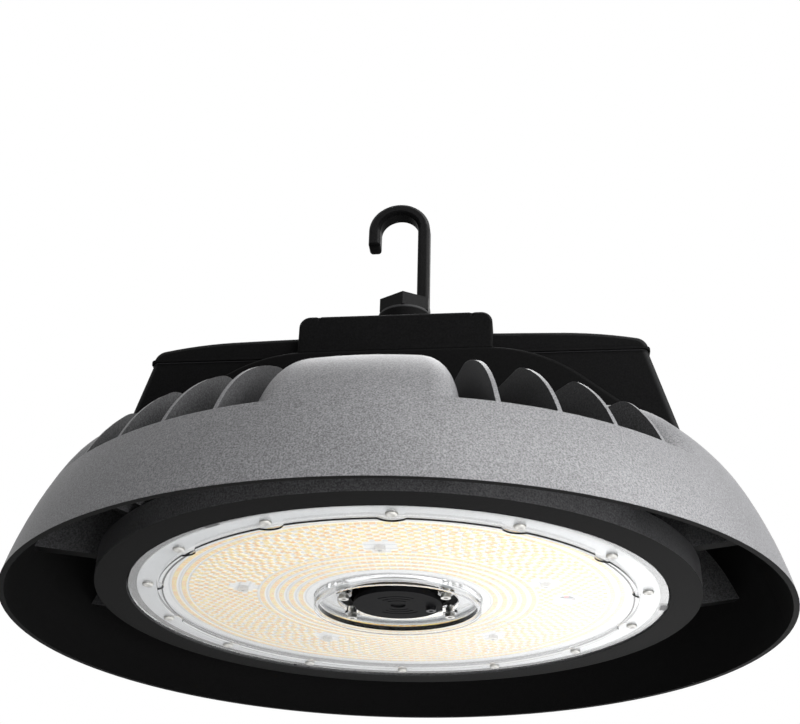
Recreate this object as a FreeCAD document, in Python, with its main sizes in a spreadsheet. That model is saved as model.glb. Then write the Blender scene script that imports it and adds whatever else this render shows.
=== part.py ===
import FreeCAD, Part
import Sketcher
import math
import os
import re

# UFO-type LED high bay light. Millimetres. The origin is the centre of the bell's rim plane,
# +Z points up to the hook, the driver box runs along X, and the front lobe faces -Y.

DIMENSIONS = [
    # bell casting
    ("rim_radius", 210.0, "outer radius of the bell's rim"),
    ("rim_lip", 3.0, "width of the flat lip at the rim"),
    ("bell_wall", 3.2, "wall of the cast bell"),
    ("skirt_arc", 209.0, "radius of the skirt's outer curve"),
    ("skirt_top_radius", 193.6, "bell radius where skirt meets shoulder"),
    ("skirt_top_height", 47.4, "height where skirt meets shoulder"),
    ("skirt_tilt", 26.0, "degrees the bell leans in where skirt meets shoulder"),
    ("shoulder_arc", 80.0, "radius of the shoulder's outer curve"),
    ("sill_height", 43.6, "height of the window sills"),
    ("lobe_half_angle", 14.4, "half width of the front and rear lobes, degrees"),
    ("side_lobe_start", 47.4, "where the side lobes begin, degrees from the front"),
    ("lobe_round", 14.0, "rounding of the lobes' edges"),
    # fins
    ("fin_first_angle", 18.3, "first fin, degrees from the front"),
    ("fin_pitch_angle", 8.35, "degrees from fin to fin"),
    ("fin_thick", 2.2, "fin thickness"),
    ("fin_top_first", 89.0, "top of the fin beside the front lobe"),
    ("fin_top_drop", 5.5, "how much lower each next fin is"),
    ("fin_corner", 12.0, "rounding of the fins' outer top corners"),
    # arch ribs
    ("arch_inner", 46.5, "inner face of the arch ribs, from the middle"),
    ("arch_wall", 7.0, "thickness of an arch rib"),
    ("arch_top", 146.0, "top of the arch ribs"),
    ("arch_flat", 50.0, "half length of the ribs' flat top"),
    ("arch_bend", 85.0, "radius from flat top to slope"),
    ("arch_slope", 39.7, "slope of the ribs' ends, degrees"),
    ("arch_reach", 152.0, "half length of the ribs at their feet"),
    ("arch_edge_round", 2.4, "rounding of the ribs' outer top edge"),
    # base disc
    ("disc_radius", 163.6, "radius of the disc that carries the lens"),
    ("disc_bottom", 13.0, "height of the disc's lower face"),
    ("disc_top", 26.0, "height of the disc's upper face"),
    ("gasket_seat", 17.0, "height of the lens gasket's seat"),
    ("board_seat", 20.5, "height of the LED board's seat"),
    ("board_seat_radius", 132.5, "radius of the LED board's seat"),
    ("lens_seat_gap", 0.8, "gap round the lens flange"),
    ("throat_height", 33.0, "height of the fins' lower edge at the bell"),
    # lens
    ("lens_radius", 146.0, "outer radius of the lens flange"),
    ("lens_flange", 2.5, "thickness of the lens flange"),
    ("lens_skin", 2.5, "thickness of the lens window"),
    ("lens_window_radius", 130.5, "radius of the raised lens window"),
    ("lens_window_drop", 1.0, "how far the window stands below the flange"),
    ("collar_outer", 46.0, "outer radius of the lens collar"),
    ("collar_wall", 2.2, "wall of the lens collar"),
    ("collar_drop", 2.4, "how far the collar stands below the window"),
    ("collar_web", 2.2, "thickness of the web inside the collar"),
    ("web_top", 18.0, "height of the web's upper face"),
    ("opening_radius", 33.5, "opening in the middle of the lens"),
    ("lug_circle", 32.5, "radius of the circle of the four lens lugs"),
    ("lug_angle", 32.0, "lens lugs, degrees from the X axis"),
    ("lug_radius", 4.2, "radius of the lens lugs"),
    ("lug_bottom", 14.2, "height of the lens lugs' lower faces"),
    ("screw_circle", 135.6, "radius of the lens screw circle"),
    ("screw_count", 14, "lens screws"),
    ("screw_phase", -85.3, "angle of the first lens screw, degrees"),
    ("scallop_radius", 8.5, "scallop in the window's edge round each lens screw"),
    # screws
    ("tiny_screw", 1.5, "radius of the M3 screws"),
    ("tiny_head", 2.75, "head radius of the M3 screws"),
    ("tiny_head_tall", 2.2, "head height of the M3 screws"),
    ("small_screw", 1.8, "radius of the M3.5 screws"),
    ("small_head", 3.4, "head radius of the M3.5 screws"),
    ("small_head_tall", 2.2, "head height of the M3.5 screws"),
    ("big_screw", 2.0, "radius of the M4 screws"),
    ("big_head", 3.6, "head radius of the M4 screws"),
    ("big_head_tall", 3.0, "head height of the M4 screws"),
    ("hole_clearance", 0.1, "radial clearance round screws and plugs"),
    # board
    ("board_outer", 131.0, "outer radius of the LED board"),
    ("board_inner", 46.6, "inner radius of the LED board"),
    ("board_screw_circle", 85.0, "radius of the board screw circle"),
    ("board_screw_count", 5, "board screws"),
    ("board_screw_phase", -90.0, "angle of the first board screw, degrees"),
    ("board_thick", 1.6, "thickness of the LED board"),
    ("pad_thick", 0.5, "thickness of the thermal pad"),
    # sensor socket
    ("well_flange", 45.0, "outer radius of the sensor well's flange"),
    ("well_flange_thick", 2.0, "thickness of the sensor well's flange"),
    ("well_tube", 29.0, "outer radius of the sensor well"),
    ("well_wall", 2.0, "wall of the sensor well"),
    ("well_top", 46.0, "top of the sensor well"),
    ("plug_radius", 24.5, "radius of the plug cover"),
    ("plug_bottom", 13.8, "height of the plug cover's lower face"),
    ("plug_thick", 2.6, "thickness of the plug cover"),
    ("socket_radius", 22.0, "radius of the sensor socket"),
    ("slot_width", 1.0, "width of the plug cover's arc slots"),
    ("slot_depth", 0.9, "depth of the plug cover's arc slots"),
    ("slot_first", 8.0, "radius of the first arc slot"),
    ("slot_pitch", 3.6, "distance from slot to slot"),
    ("slot_span", 80.0, "angle of each arc slot"),
    ("dimple_radius", 4.2, "radius of the plug cover's middle dimple"),
    # driver box
    ("tray_half_length", 142.0, "half length of the tray at its top"),
    ("tray_half_width", 44.0, "half width of the tray"),
    ("tray_top", 146.0, "top of the tray's walls"),
    ("tray_end_draft", 15.5, "lean of the tray's end walls, degrees"),
    ("tray_wall", 3.0, "wall of the tray"),
    ("tray_corner", 4.0, "rounding of the tray's upright corners"),
    ("gasket_thick", 0.6, "thickness of the lid's gasket"),
    ("lid_ledge", 1.0, "how far the lid's ledge stands out"),
    ("lid_ledge_thick", 1.6, "thickness of the lid's ledge"),
    ("lid_inset", 1.5, "how far the lid's crown stands in from the tray's sides"),
    ("lid_overhang", 0.3, "how far the lid's crown stands out beyond the tray's ends"),
    ("lid_end_height", 150.0, "where the lid's ends begin to round"),
    ("lid_corner_in", 5.7, "from the lid's end to where its rounding meets its slope"),
    ("lid_corner_z", 155.4, "height where the lid's end rounding meets its slope"),
    ("lid_bend_x", 96.0, "where the lid's slope meets its crown"),
    ("lid_bend_z", 160.3, "height where the lid's slope meets its crown"),
    ("lid_end_arc", 8.0, "radius of the lid's end rounding"),
    ("lid_slope_arc", 250.0, "radius of the lid's slopes"),
    ("lid_crown_arc", 3072.0, "radius of the lid's crown along the box"),
    ("lid_edge_round", 3.0, "rounding of the lid's long edges"),
    ("lid_wall", 2.6, "wall of the lid"),
    ("lid_screw_in", 16.0, "lid screws from the tray's ends"),
    ("lid_screw_y", 34.0, "lid screws from the middle, along Y"),
    ("lid_screw_seat", 154.0, "height of the lid screws' seats"),
    ("boss_radius", 4.6, "radius of the screw bosses"),
    ("tray_screw_in", 34.0, "tray screws from the tray's ends"),
    ("tray_screw_y", 30.0, "tray screws from the middle, along Y"),
    ("wire_x", 92.0, "wire hole from the middle, along X"),
    ("wire_hole", 6.0, "radius of the wire hole"),
    ("lead_radius", 1.4, "radius of the leads to the LED board"),
    ("driver_length", 168.0, "length of the LED driver's case"),
    ("driver_width", 68.0, "width of the LED driver's case"),
    ("driver_tall", 38.0, "height of the LED driver's case"),
    ("driver_shift", 12.0, "how far the driver sits away from the cable gland"),
    ("ground_in", 6.0, "ground screw from the tray's end"),
    # saddle cap and hub
    ("cap_half_length", 55.6, "half length of the saddle cap"),
    ("cap_half_width", 52.0, "half width of the saddle cap"),
    ("cap_top", 169.5, "top of the saddle cap"),
    ("cap_tunnel_half", 46.2, "half width of the tunnel under the cap"),
    ("cap_tunnel_top", 162.6, "top of the tunnel under the cap"),
    ("cap_corner", 6.5, "rounding of the cap's upper corners"),
    ("cap_edge", 1.6, "rounding of the cap's edges"),
    ("hub_radius", 17.2, "radius of the hub"),
    ("hub_top", 196.5, "top of the hub"),
    ("hub_bore", 13.3, "radius of the hub's 3/4 inch thread"),
    ("bore_bottom", 172.0, "lower end of the hub's bore"),
    ("cap_screw_x", 44.0, "cap screws from the middle, along X"),
    ("cap_screw_y", 49.1, "cap screws from the middle, along Y"),
    ("cap_screw_length", 28.0, "length of the cap screws under their heads"),
    ("set_screw_z", 186.0, "height of the hook's set screw"),
    # hook
    ("hex_flats", 30.0, "across flats of the hook's hexagon"),
    ("hex_tall", 9.0, "height of the hook's hexagon"),
    ("washer_thick", 1.2, "thickness of the washer under the hexagon"),
    ("stud_radius", 13.2, "radius of the hook's stud"),
    ("stud_length", 22.0, "length of the hook's stud"),
    ("hook_bar", 7.6, "width of the hook's bar"),
    ("hook_depth", 12.0, "depth of the hook's bar"),
    ("hook_bend", 15.9, "middle radius of the hook's bend"),
    ("shank_x", 11.2, "middle of the hook's shank from the axis"),
    ("bend_height", 261.2, "height of the bend's centre"),
    ("tip_height", 248.9, "height of the hook's tip"),
    ("hook_edge_round", 2.2, "rounding of the hook's edges"),
    # gland
    ("gland_in", 30.0, "cable gland from the tray's end"),
    ("gland_z", 131.5, "height of the cable gland"),
    ("gland_thread", 6.0, "radius of the gland's thread"),
    ("gland_flats", 17.0, "across flats of the gland"),
    ("cable_hole", 3.2, "radius of the gland seal's hole"),
]

SHEET = "dims"
VALUES = {alias: value for alias, value, note in DIMENSIONS}
ALIAS_WORD = re.compile(r"[a-z]+(?:_[a-z]+)+")
doc = FreeCAD.newDocument("high_bay_light")
Vec = FreeCAD.Vector
UP = Vec(0, 0, 1)


def make_sheet():
    """Spreadsheet with one row for each driving dimension."""
    sheet = doc.addObject("Spreadsheet::Sheet", SHEET)
    for row, (alias, value, note) in enumerate(DIMENSIONS, start=1):
        sheet.set(f"A{row}", str(value))
        sheet.setAlias(f"A{row}", alias)
        sheet.set(f"B{row}", note)
    doc.recompute()
    return sheet


SHEET_OBJECT = make_sheet()


def linked(text):
    """Turn the alias words of an expression into references to the sheet."""
    return ALIAS_WORD.sub(lambda word: f"{SHEET}.{word.group(0)}", str(text))


def number(text):
    """Value of an expression, for a sketch's first geometry and for loops."""
    value = SHEET_OBJECT.evalExpression(linked(text))
    return float(getattr(value, "Value", value))


def bind(thing, **expressions):
    """Bind properties to the sheet; double underscores stand for dots."""
    for name, text in expressions.items():
        thing.setExpression(name.replace("__", "."), linked(text))
    return thing


def place(thing, x="0", y="0", z="0", axis=UP, turn=None):
    """Bind a feature's position, and its turn about an axis in degrees."""
    angle = 0.0 if turn is None else number(turn)
    thing.Placement = FreeCAD.Placement(Vec(), FreeCAD.Rotation(axis, angle))
    bind(thing, Placement__Base__x=x, Placement__Base__y=y, Placement__Base__z=z)
    if turn is not None:
        bind(thing, Placement__Rotation__Angle=turn)
    return thing


def box(name, length, width, height, **where):
    return place(bind(doc.addObject("Part::Box", name), Length=length, Width=width, Height=height), **where)


def cylinder(name, radius, height, **where):
    return place(bind(doc.addObject("Part::Cylinder", name), Radius=radius, Height=height), **where)


def prism(name, radius, height, **where):
    solid = doc.addObject("Part::Prism", name)
    solid.Polygon = 6
    return place(bind(solid, Circumradius=radius, Height=height), **where)


def fuse(name, parts):
    joined = doc.addObject("Part::MultiFuse", name)
    joined.Shapes = parts
    return joined


def common(name, parts):
    shared = doc.addObject("Part::MultiCommon", name)
    shared.Shapes = parts
    return shared


def cut(name, base, tools):
    tool = tools[0] if len(tools) == 1 else fuse(name + "_tools", tools)
    result = doc.addObject("Part::Cut", name)
    result.Base = base
    result.Tool = tool
    return result


def group(name, parts):
    together = doc.addObject("Part::Compound", name)
    together.Links = parts
    return together


def ring(name, outer, inner, bottom, top):
    """Flat ring between two heights."""
    disc = cylinder(name + "_disc", outer, f"({top}) - ({bottom})", z=bottom)
    hole = cylinder(name + "_hole", inner, f"({top}) - ({bottom}) + 2", z=f"({bottom}) - 1")
    return cut(name, disc, [hole])


def fillet(name, base, radius, chosen):
    """Round the edges of a solid that the test picks."""
    doc.recompute()
    rounded = doc.addObject("Part::Fillet", name)
    rounded.Base = base
    size = number(radius)
    edges = [i for i, edge in enumerate(base.Shape.Edges, start=1) if chosen(edge)]
    rounded.Edges = [(i, size, size) for i in edges]
    return rounded


def outline(name, points, upright=True):
    """Closed sketch through (x, y, arc) points; arc is the radius of the stretch to the next
    point, positive when it bulges to the right of the way along, and None for a line."""
    sketch = doc.addObject("Sketcher::SketchObject", name)
    if upright:
        sketch.Placement = FreeCAD.Placement(Vec(), FreeCAD.Rotation(Vec(1, 0, 0), 90))
    corners = [Vec(number(x), number(y), 0) for x, y, arc in points]
    for index, (x, y, arc) in enumerate(points):
        start = corners[index]
        end = corners[(index + 1) % len(corners)]
        if arc is None:
            sketch.addGeometry(Part.LineSegment(start, end))
        else:
            sketch.addGeometry(Part.Arc(start, bulge(start, end, number(arc)), end))
    for index in range(len(points)):
        follow = (index + 1) % len(points)
        ends = [end_point(sketch, index, corners[follow]), end_point(sketch, follow, corners[follow])]
        sketch.addConstraint(Sketcher.Constraint("Coincident", index, ends[0], follow, ends[1]))
    for index, (x, y, arc) in enumerate(points):
        pin_point(sketch, index, corners[index], x, y)
        if arc is not None:
            row = sketch.addConstraint(Sketcher.Constraint("Radius", index, abs(number(arc))))
            sketch.setExpression(f"Constraints[{row}]", linked(f"abs({arc})"))
    return sketch


def bulge(start, end, radius):
    """Middle point of an arc between two points."""
    chord = end - start
    half = chord.Length / 2
    rise = abs(radius) - math.sqrt(max(radius * radius - half * half, 0.0))
    side = Vec(chord.y, -chord.x, 0).normalize()
    return (start + end) * 0.5 + side * math.copysign(rise, radius)


def end_point(sketch, index, corner):
    """1 or 2: which end of a sketch curve lies at a corner."""
    curve = sketch.Geometry[index]
    return 1 if (curve.StartPoint - corner).Length < (curve.EndPoint - corner).Length else 2


def pin_point(sketch, index, corner, x, y):
    """Bind one corner's distances from the sketch's origin."""
    end = end_point(sketch, index, corner)
    for kind, text in (("DistanceX", x), ("DistanceY", y)):
        row = sketch.addConstraint(Sketcher.Constraint(kind, -1, 1, index, end, number(text)))
        sketch.setExpression(f"Constraints[{row}]", linked(text))


def revolve(name, sketch):
    """Turn an upright outline about the light's axis."""
    solid = doc.addObject("Part::Revolution", name)
    solid.Source = sketch
    solid.Axis = UP
    solid.Base = Vec()
    solid.Angle = 360
    solid.Solid = True
    return solid


def extrude(name, sketch, direction, length, symmetric=False):
    solid = doc.addObject("Part::Extrusion", name)
    solid.Base = sketch
    solid.DirMode = "Custom"
    solid.Dir = direction
    solid.Symmetric = symmetric
    solid.Solid = True
    bind(solid, LengthFwd=length)
    return solid


def finish(node, shape_object):
    """Give a sub-part its node name."""
    shape_object.Label = node
    NODES[node] = shape_object
    return shape_object


NODES = {}


# ---- the bell casting -------------------------------------------------------------------

SHOULDER_X = "(skirt_top_radius - shoulder_arc * cos(skirt_tilt))"
SHOULDER_Z = "(skirt_top_height - shoulder_arc * sin(skirt_tilt))"
DECK_TOP = f"({SHOULDER_Z} + shoulder_arc)"
DECK_UNDER = f"({DECK_TOP} - bell_wall)"


def bell_profile(name, inset, lip, foot):
    """Half section of the bell, inset from its outer face, from the rim up to the deck."""
    knee_x = f"skirt_top_radius - ({inset}) * cos(skirt_tilt)"
    knee_z = f"skirt_top_height - ({inset}) * sin(skirt_tilt)"
    lowest = [] if foot == "0" else [(f"rim_radius - ({lip})", foot, None)]
    return outline(name, [("0", foot, None)] + lowest + [
        (f"rim_radius - ({lip})", "0", f"skirt_arc - ({inset})"),
        (knee_x, knee_z, f"shoulder_arc - ({inset})"),
        (SHOULDER_X, f"{DECK_TOP} - ({inset})", None),
        ("0", f"{DECK_TOP} - ({inset})", None),
    ])


def wedge(name, half_angle, middle, bottom, top):
    """Upright wedge that opens outwards from the axis, either side of a direction."""
    reach = "rim_radius * 1.6"
    sketch = outline(name + "_outline", [
        ("0", "0", None),
        (f"{reach} * cos({half_angle})", f"0 - {reach} * sin({half_angle})", None),
        (f"{reach}", "0", None),
        (f"{reach} * cos({half_angle})", f"{reach} * sin({half_angle})", None),
    ], upright=False)
    solid = extrude(name, sketch, UP, f"({top}) - ({bottom})")
    return place(solid, z=bottom, turn=middle)


def mirrored(name, source, normal):
    """Mirror image of a solid through the light's axis."""
    image = doc.addObject("Part::Mirroring", name)
    image.Source = source
    image.Normal = normal
    return image


def four_ways(name, source):
    """A solid with its images left to right and front to back."""
    pair = group(name + "_pair", [source, mirrored(name + "_across", source, Vec(1, 0, 0))])
    return group(name, [pair, mirrored(name + "_behind", pair, Vec(0, 1, 0))])


def slab(name, half_x, half_y, bottom, top):
    """Block centred on the axis between two heights."""
    return box(name, f"2 * ({half_x})", f"2 * ({half_y})", f"({top}) - ({bottom})",
               x=f"0 - ({half_x})", y=f"0 - ({half_y})", z=bottom)


def wall_edge(edge, half_angle, turn, apex):
    """True for an edge of a wedge's side walls, but not for upright or lowest ones."""
    first = edge.Vertexes[0].Point
    last = edge.Vertexes[-1].Point
    low = number("disc_top")
    if math.hypot(first.x - last.x, first.y - last.y) < 0.5 or (first.z < low and last.z < low):
        return False
    for point in (first, last):
        away = math.degrees(math.atan2(point.y - apex.y, point.x - apex.x)) - turn
        if abs(abs((away + 180) % 360 - 180) - half_angle) > 0.02:
            return False
    return True


def lobe_block(name, shell, half_angle, turn, beyond, inset, foot):
    """Rounded wedge of the bell's envelope, its side walls inset from the lobe's outer ones."""
    shift = f"({inset}) / sin({half_angle})"
    block = wedge(name + "_block", half_angle, turn, foot, "rim_radius")
    place(block, x=f"{shift} * cos({turn})", y=f"{shift} * sin({turn})", z=foot, turn=turn)
    blank = common(name + "_blank", [shell, block, beyond])
    middle = number(turn)
    apex = Vec(1, 0, 0) * number(shift)
    apex = FreeCAD.Rotation(UP, middle).multVec(apex)
    return fillet(name, blank, f"lobe_round - ({inset})",
                  lambda edge: wall_edge(edge, number(half_angle), middle, apex))


def hood(name, outer, inner, half_angle, turn, beyond, beyond_inner):
    """One closed lobe of the bell: its shell and two side walls, open below and at the ribs."""
    solid = lobe_block(name + "_solid", outer, half_angle, turn, beyond, "0", "disc_top - 1")
    hollow = lobe_block(name + "_hollow", inner, half_angle, turn, beyond_inner, "bell_wall", "disc_top - 2")
    return cut(name, solid, [hollow])


def lobes(outer, inner):
    """Front and rear lobes, and the two wide side lobes under the box's ends."""
    start = "arch_inner + 1.5"
    front_side = box("front_side", "2 * rim_radius", "rim_radius", "rim_radius",
                     x="0 - rim_radius", y=f"0 - rim_radius - ({start})")
    front_open = box("front_open", "2 * rim_radius", "rim_radius", "rim_radius",
                     x="0 - rim_radius", y=f"1 - rim_radius - ({start})")
    front = hood("front_lobe", outer, inner, "lobe_half_angle", "0 - 90", front_side, front_open)
    reach = "arch_inner * tan(side_lobe_start) + 1.5"
    right_side = box("right_side", "rim_radius", "2 * rim_radius", "rim_radius", x=reach, y="0 - rim_radius")
    right_open = box("right_open", "rim_radius", "2 * rim_radius", "rim_radius",
                     x=f"{reach} - 1", y="0 - rim_radius")
    right = hood("right_lobe", outer, inner, "90 - side_lobe_start", "0", right_side, right_open)
    rear = mirrored("rear_lobe", front, Vec(0, 1, 0))
    left = mirrored("left_lobe", right, Vec(1, 0, 0))
    return [front, rear, right, left]


def one_fin(index, outer):
    """Radial fin with a flat top and a rounded outer corner."""
    name = f"fin_{index + 1}"
    top = f"fin_top_first - {index} * fin_top_drop"
    foot = "disc_top - 1"
    angle = f"fin_first_angle + {index} * fin_pitch_angle"
    start = f"(arch_inner + arch_wall / 2) / cos({angle})"
    blade = box(name + "_blade", "rim_radius", "fin_thick", f"{top} - ({foot})")
    swing = f"({angle}) - 90"
    place(blade, x=f"{start} * cos({swing}) - fin_thick / 2 * cos({swing} + 90)",
          y=f"{start} * sin({swing}) - fin_thick / 2 * sin({swing} + 90)", z=foot, turn=swing)
    blank = common(name + "_blank", [outer, blade])
    height = number(top)
    return fillet(name, blank, "fin_corner",
                  lambda edge: edge.Length < 2 * number("fin_thick")
                  and all(abs(v.Z - height) < 0.01 and math.hypot(v.X, v.Y) > 100 for v in edge.Vertexes))


def fins(outer):
    quarter = [one_fin(index, outer) for index in range(4)]
    return four_ways("fins", group("fins_quarter", quarter))


def arch_rib():
    """Upright rib with a flat top and sloping ends, its outer top edge rounded."""
    bend_x = "arch_flat + arch_bend * sin(arch_slope)"
    bend_z = "arch_top - arch_bend * (1 - cos(arch_slope))"
    end_z = f"{bend_z} - (arch_reach - ({bend_x})) * tan(arch_slope)"
    foot_z = "disc_top + 30"
    sketch = outline("arch_outline", [
        ("0 - arch_reach", foot_z, None),
        ("arch_reach", foot_z, None),
        ("arch_reach", end_z, None),
        (bend_x, bend_z, "arch_bend"),
        ("arch_flat", "arch_top", None),
        ("0 - arch_flat", "arch_top", "arch_bend"),
        (f"0 - ({bend_x})", bend_z, None),
        ("0 - arch_reach", end_z, None),
    ])
    plate = extrude("arch_plate", sketch, Vec(0, -1, 0), "arch_wall")
    place(plate, y="0 - arch_inner")
    face = -number("arch_inner + arch_wall")
    lowest = number(end_z) - 0.1
    return fillet("arch_rib", plate, "arch_edge_round",
                  lambda edge: all(abs(v.Y - face) < 0.01 and v.Z > lowest for v in edge.Vertexes)
                  and abs(edge.Vertexes[0].X - edge.Vertexes[-1].X) > 0.5)


def arch_wall(outer):
    """Wall from the base disc up to the deck under a rib."""
    blank = box("arch_wall_blank", "2 * rim_radius", "arch_wall", f"{DECK_TOP} - 0.5 - (disc_top - 1)",
                x="0 - rim_radius", y="0 - arch_inner - arch_wall", z="disc_top - 1")
    return common("arch_wall_solid", [outer, blank])


CORNERS = ((1, 1), (-1, 1), (-1, -1), (1, -1))


def screw_points(count, circle, phase):
    """Expressions of the points of an even circle of screws."""
    total = int(number(count))
    return [(f"{circle} * cos({phase} + {index} * 360 / {count})",
             f"{circle} * sin({phase} + {index} * 360 / {count})") for index in range(total)]


LENS_SCREWS = screw_points("screw_count", "screw_circle", "screw_phase")
BOARD_SCREWS = screw_points("board_screw_count", "board_screw_circle", "board_screw_phase")
LUGS = [(f"{a} * lug_circle * cos(lug_angle)", f"{b} * lug_circle * sin(lug_angle)")
        for a, b in CORNERS]
TRAY_SCREWS = [(f"{a} * (tray_half_length - tray_screw_in)", f"{b} * tray_screw_y") for a, b in CORNERS]
LID_SCREWS = [(f"{a} * (tray_half_length - lid_screw_in)", f"{b} * lid_screw_y") for a, b in CORNERS]
CAP_SCREWS = [(f"{a} * cap_screw_x", f"{b} * cap_screw_y") for a, b in CORNERS]


def pins(name, points, radius, bottom, top):
    """Upright round bars or holes at a list of points."""
    return [cylinder(f"{name}_{i}", radius, f"({top}) - ({bottom})", x=x, y=y, z=bottom)
            for i, (x, y) in enumerate(points, start=1)]


def screws(name, points, size, seat, length, up=True):
    """Pan head screws at a list of points; they point up from their seat, or down."""
    bars = []
    for i, (x, y) in enumerate(points, start=1):
        head_z = f"{seat} - {size}_head_tall" if up else seat
        shank_z = seat if up else f"{seat} - ({length})"
        head = cylinder(f"{name}_{i}_head", f"{size}_head", f"{size}_head_tall", x=x, y=y, z=head_z)
        shank = cylinder(f"{name}_{i}_shank", f"{size}_screw", length, x=x, y=y, z=shank_z)
        drive_z = f"{head_z} - 1" if up else f"{seat} + {size}_head_tall - {size}_head_tall / 2"
        drive = prism(f"{name}_{i}_drive", f"{size}_head / 2", f"{size}_head_tall / 2 + 1", x=x, y=y, z=drive_z)
        if up:
            bind(drive, Height=f"{size}_head_tall / 2 + 1")
        bars.append(cut(f"{name}_{i}", fuse(f"{name}_{i}_blank", [head, shank]), [drive]))
    return finish(name, group(name, bars))


def housing():
    """Bell, fins, ribs, deck and base disc, one casting."""
    outer = revolve("bell_outer", bell_profile("bell_outer_outline", "0", "0", "0"))
    inner = revolve("bell_inner", bell_profile("bell_inner_outline", "bell_wall", "rim_lip", "0 - 1"))
    shell = cut("bell_shell", outer, [inner])
    band = common("bell_band", [shell, slab("band_block", "rim_radius", "rim_radius", "0", "sill_height")])
    deck = slab("deck", "arch_inner * tan(side_lobe_start) + 5", "arch_inner + 2", DECK_UNDER, DECK_TOP)
    rib = fuse("rib_front", [arch_rib(), arch_wall(outer)])
    ribs = [rib, mirrored("rib_rear", rib, Vec(0, 1, 0))]
    webs = fuse("webs", lobes(outer, inner) + [fins(outer), deck, band] + ribs)
    gap_outline = outline("gap_outline", [
        ("disc_radius", "0 - 2", None),
        ("rim_radius", "0 - 2", None),
        ("rim_radius", "throat_height", None),
        ("disc_radius", "disc_top", None),
    ])
    gap = common("ring_gap", [inner, revolve("gap_ring", gap_outline)])
    disc = cylinder("base_disc", "disc_radius", "disc_top - disc_bottom", z="disc_bottom")
    bosses = pins("deck_boss", TRAY_SCREWS, "boss_radius", f"{DECK_UNDER} - 9", f"{DECK_TOP} - 0.5")
    body = fuse("casting_body", [cut("open_webs", webs, [gap]), disc] + bosses)
    hole = "hole_clearance"
    holes = [
        cylinder("lens_seat", "lens_radius + lens_seat_gap", "gasket_seat - disc_bottom + 1",
                 z="disc_bottom - 1"),
        cylinder("board_seat_cut", "board_seat_radius", "board_seat - disc_bottom", z="disc_bottom"),
        cylinder("well_hole", f"well_tube + {hole}", "disc_top - disc_bottom + 2", z="disc_bottom"),
        cylinder("disc_wire_hole", "wire_hole", "disc_top - disc_bottom + 2", x="wire_x", z="disc_bottom"),
        cylinder("deck_wire_hole", "wire_hole", "20", x="wire_x", z=f"{DECK_TOP} - 10"),
    ]
    holes += pins("lens_hole", LENS_SCREWS, f"small_screw + {hole}", "disc_bottom", "disc_bottom + 11")
    holes += pins("lug_hole", LUGS, f"tiny_screw + {hole}", "disc_bottom", "disc_top - 1")
    holes += pins("board_hole", BOARD_SCREWS, f"tiny_screw + {hole}", "disc_bottom", "disc_top - 1")
    holes += pins("tray_hole", TRAY_SCREWS, f"big_screw + {hole}", f"{DECK_TOP} - 9", f"{DECK_TOP} + 1")
    top = "arch_top - cap_screw_length"
    holes += pins("cap_hole", CAP_SCREWS, f"tiny_screw + {hole}", top, "arch_top + 1")
    return finish("heat_sink_housing", cut("heat_sink_housing", body, holes))


# ---- lens, board and sensor socket ------------------------------------------------------

FLANGE_TOP = "(gasket_seat - gasket_thick)"
FLANGE_BOTTOM = f"({FLANGE_TOP} - lens_flange)"
WINDOW_BOTTOM = f"({FLANGE_BOTTOM} - lens_window_drop)"
WINDOW_TOP = f"({WINDOW_BOTTOM} + lens_skin)"
BOARD_BOTTOM = "(board_seat - pad_thick - board_thick)"
WELL_BOTTOM = "(board_seat - well_flange_thick)"


def lens():
    """Clear cover with a screwed flange and a stepped collar round the sensor opening."""
    sketch = outline("lens_outline", [
        ("opening_radius", "web_top - collar_web", None),
        ("collar_outer - collar_wall", "web_top - collar_web", None),
        ("collar_outer - collar_wall", f"{WINDOW_BOTTOM} - collar_drop", None),
        ("collar_outer", f"{WINDOW_BOTTOM} - collar_drop", None),
        ("collar_outer", WINDOW_BOTTOM, None),
        ("lens_window_radius", WINDOW_BOTTOM, None),
        ("lens_window_radius", FLANGE_BOTTOM, None),
        ("lens_radius", FLANGE_BOTTOM, None),
        ("lens_radius", FLANGE_TOP, None),
        ("lens_window_radius - 2", FLANGE_TOP, None),
        ("lens_window_radius - 3", WINDOW_TOP, None),
        ("collar_outer", WINDOW_TOP, None),
        ("collar_outer", "web_top", None),
        ("opening_radius", "web_top", None),
    ])
    blank = revolve("lens_blank", sketch)
    lugs = pins("lens_lug", LUGS, "lug_radius", "lug_bottom", "web_top")
    tools = pins("lens_screw_hole", LENS_SCREWS, "small_screw + hole_clearance",
                 f"{FLANGE_BOTTOM} - 1", f"{FLANGE_TOP} + 1")
    tools += pins("lens_scallop", LENS_SCREWS, "scallop_radius", f"{WINDOW_BOTTOM} - 1", FLANGE_BOTTOM)
    tools += pins("lug_screw_hole", LUGS, "tiny_screw + hole_clearance", "lug_bottom - 1", "web_top + 1")
    return finish("lens_cover", cut("lens_cover", fuse("lens_body", [blank] + lugs), tools))


def lens_gasket():
    """Flat seal between the lens flange and the casting."""
    seal = ring("lens_seal", "lens_radius", "lens_window_radius", FLANGE_TOP, "gasket_seat")
    tools = pins("lens_seal_hole", LENS_SCREWS, "small_screw + hole_clearance",
                 f"{FLANGE_TOP} - 1", "gasket_seat + 1")
    return finish("lens_gasket", cut("lens_gasket", seal, tools))


def collar_gasket():
    """Flat seal between the lens web and the sensor well."""
    seal = ring("collar_seal", "collar_outer - collar_wall", "opening_radius", "web_top", WELL_BOTTOM)
    pads = pins("collar_pad", LUGS, "lug_radius", "web_top", WELL_BOTTOM)
    tools = pins("collar_seal_hole", LUGS, "tiny_screw + hole_clearance", "web_top - 1", f"{WELL_BOTTOM} + 1")
    return finish("collar_gasket", cut("collar_gasket", fuse("collar_seal_blank", [seal] + pads), tools))


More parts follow.
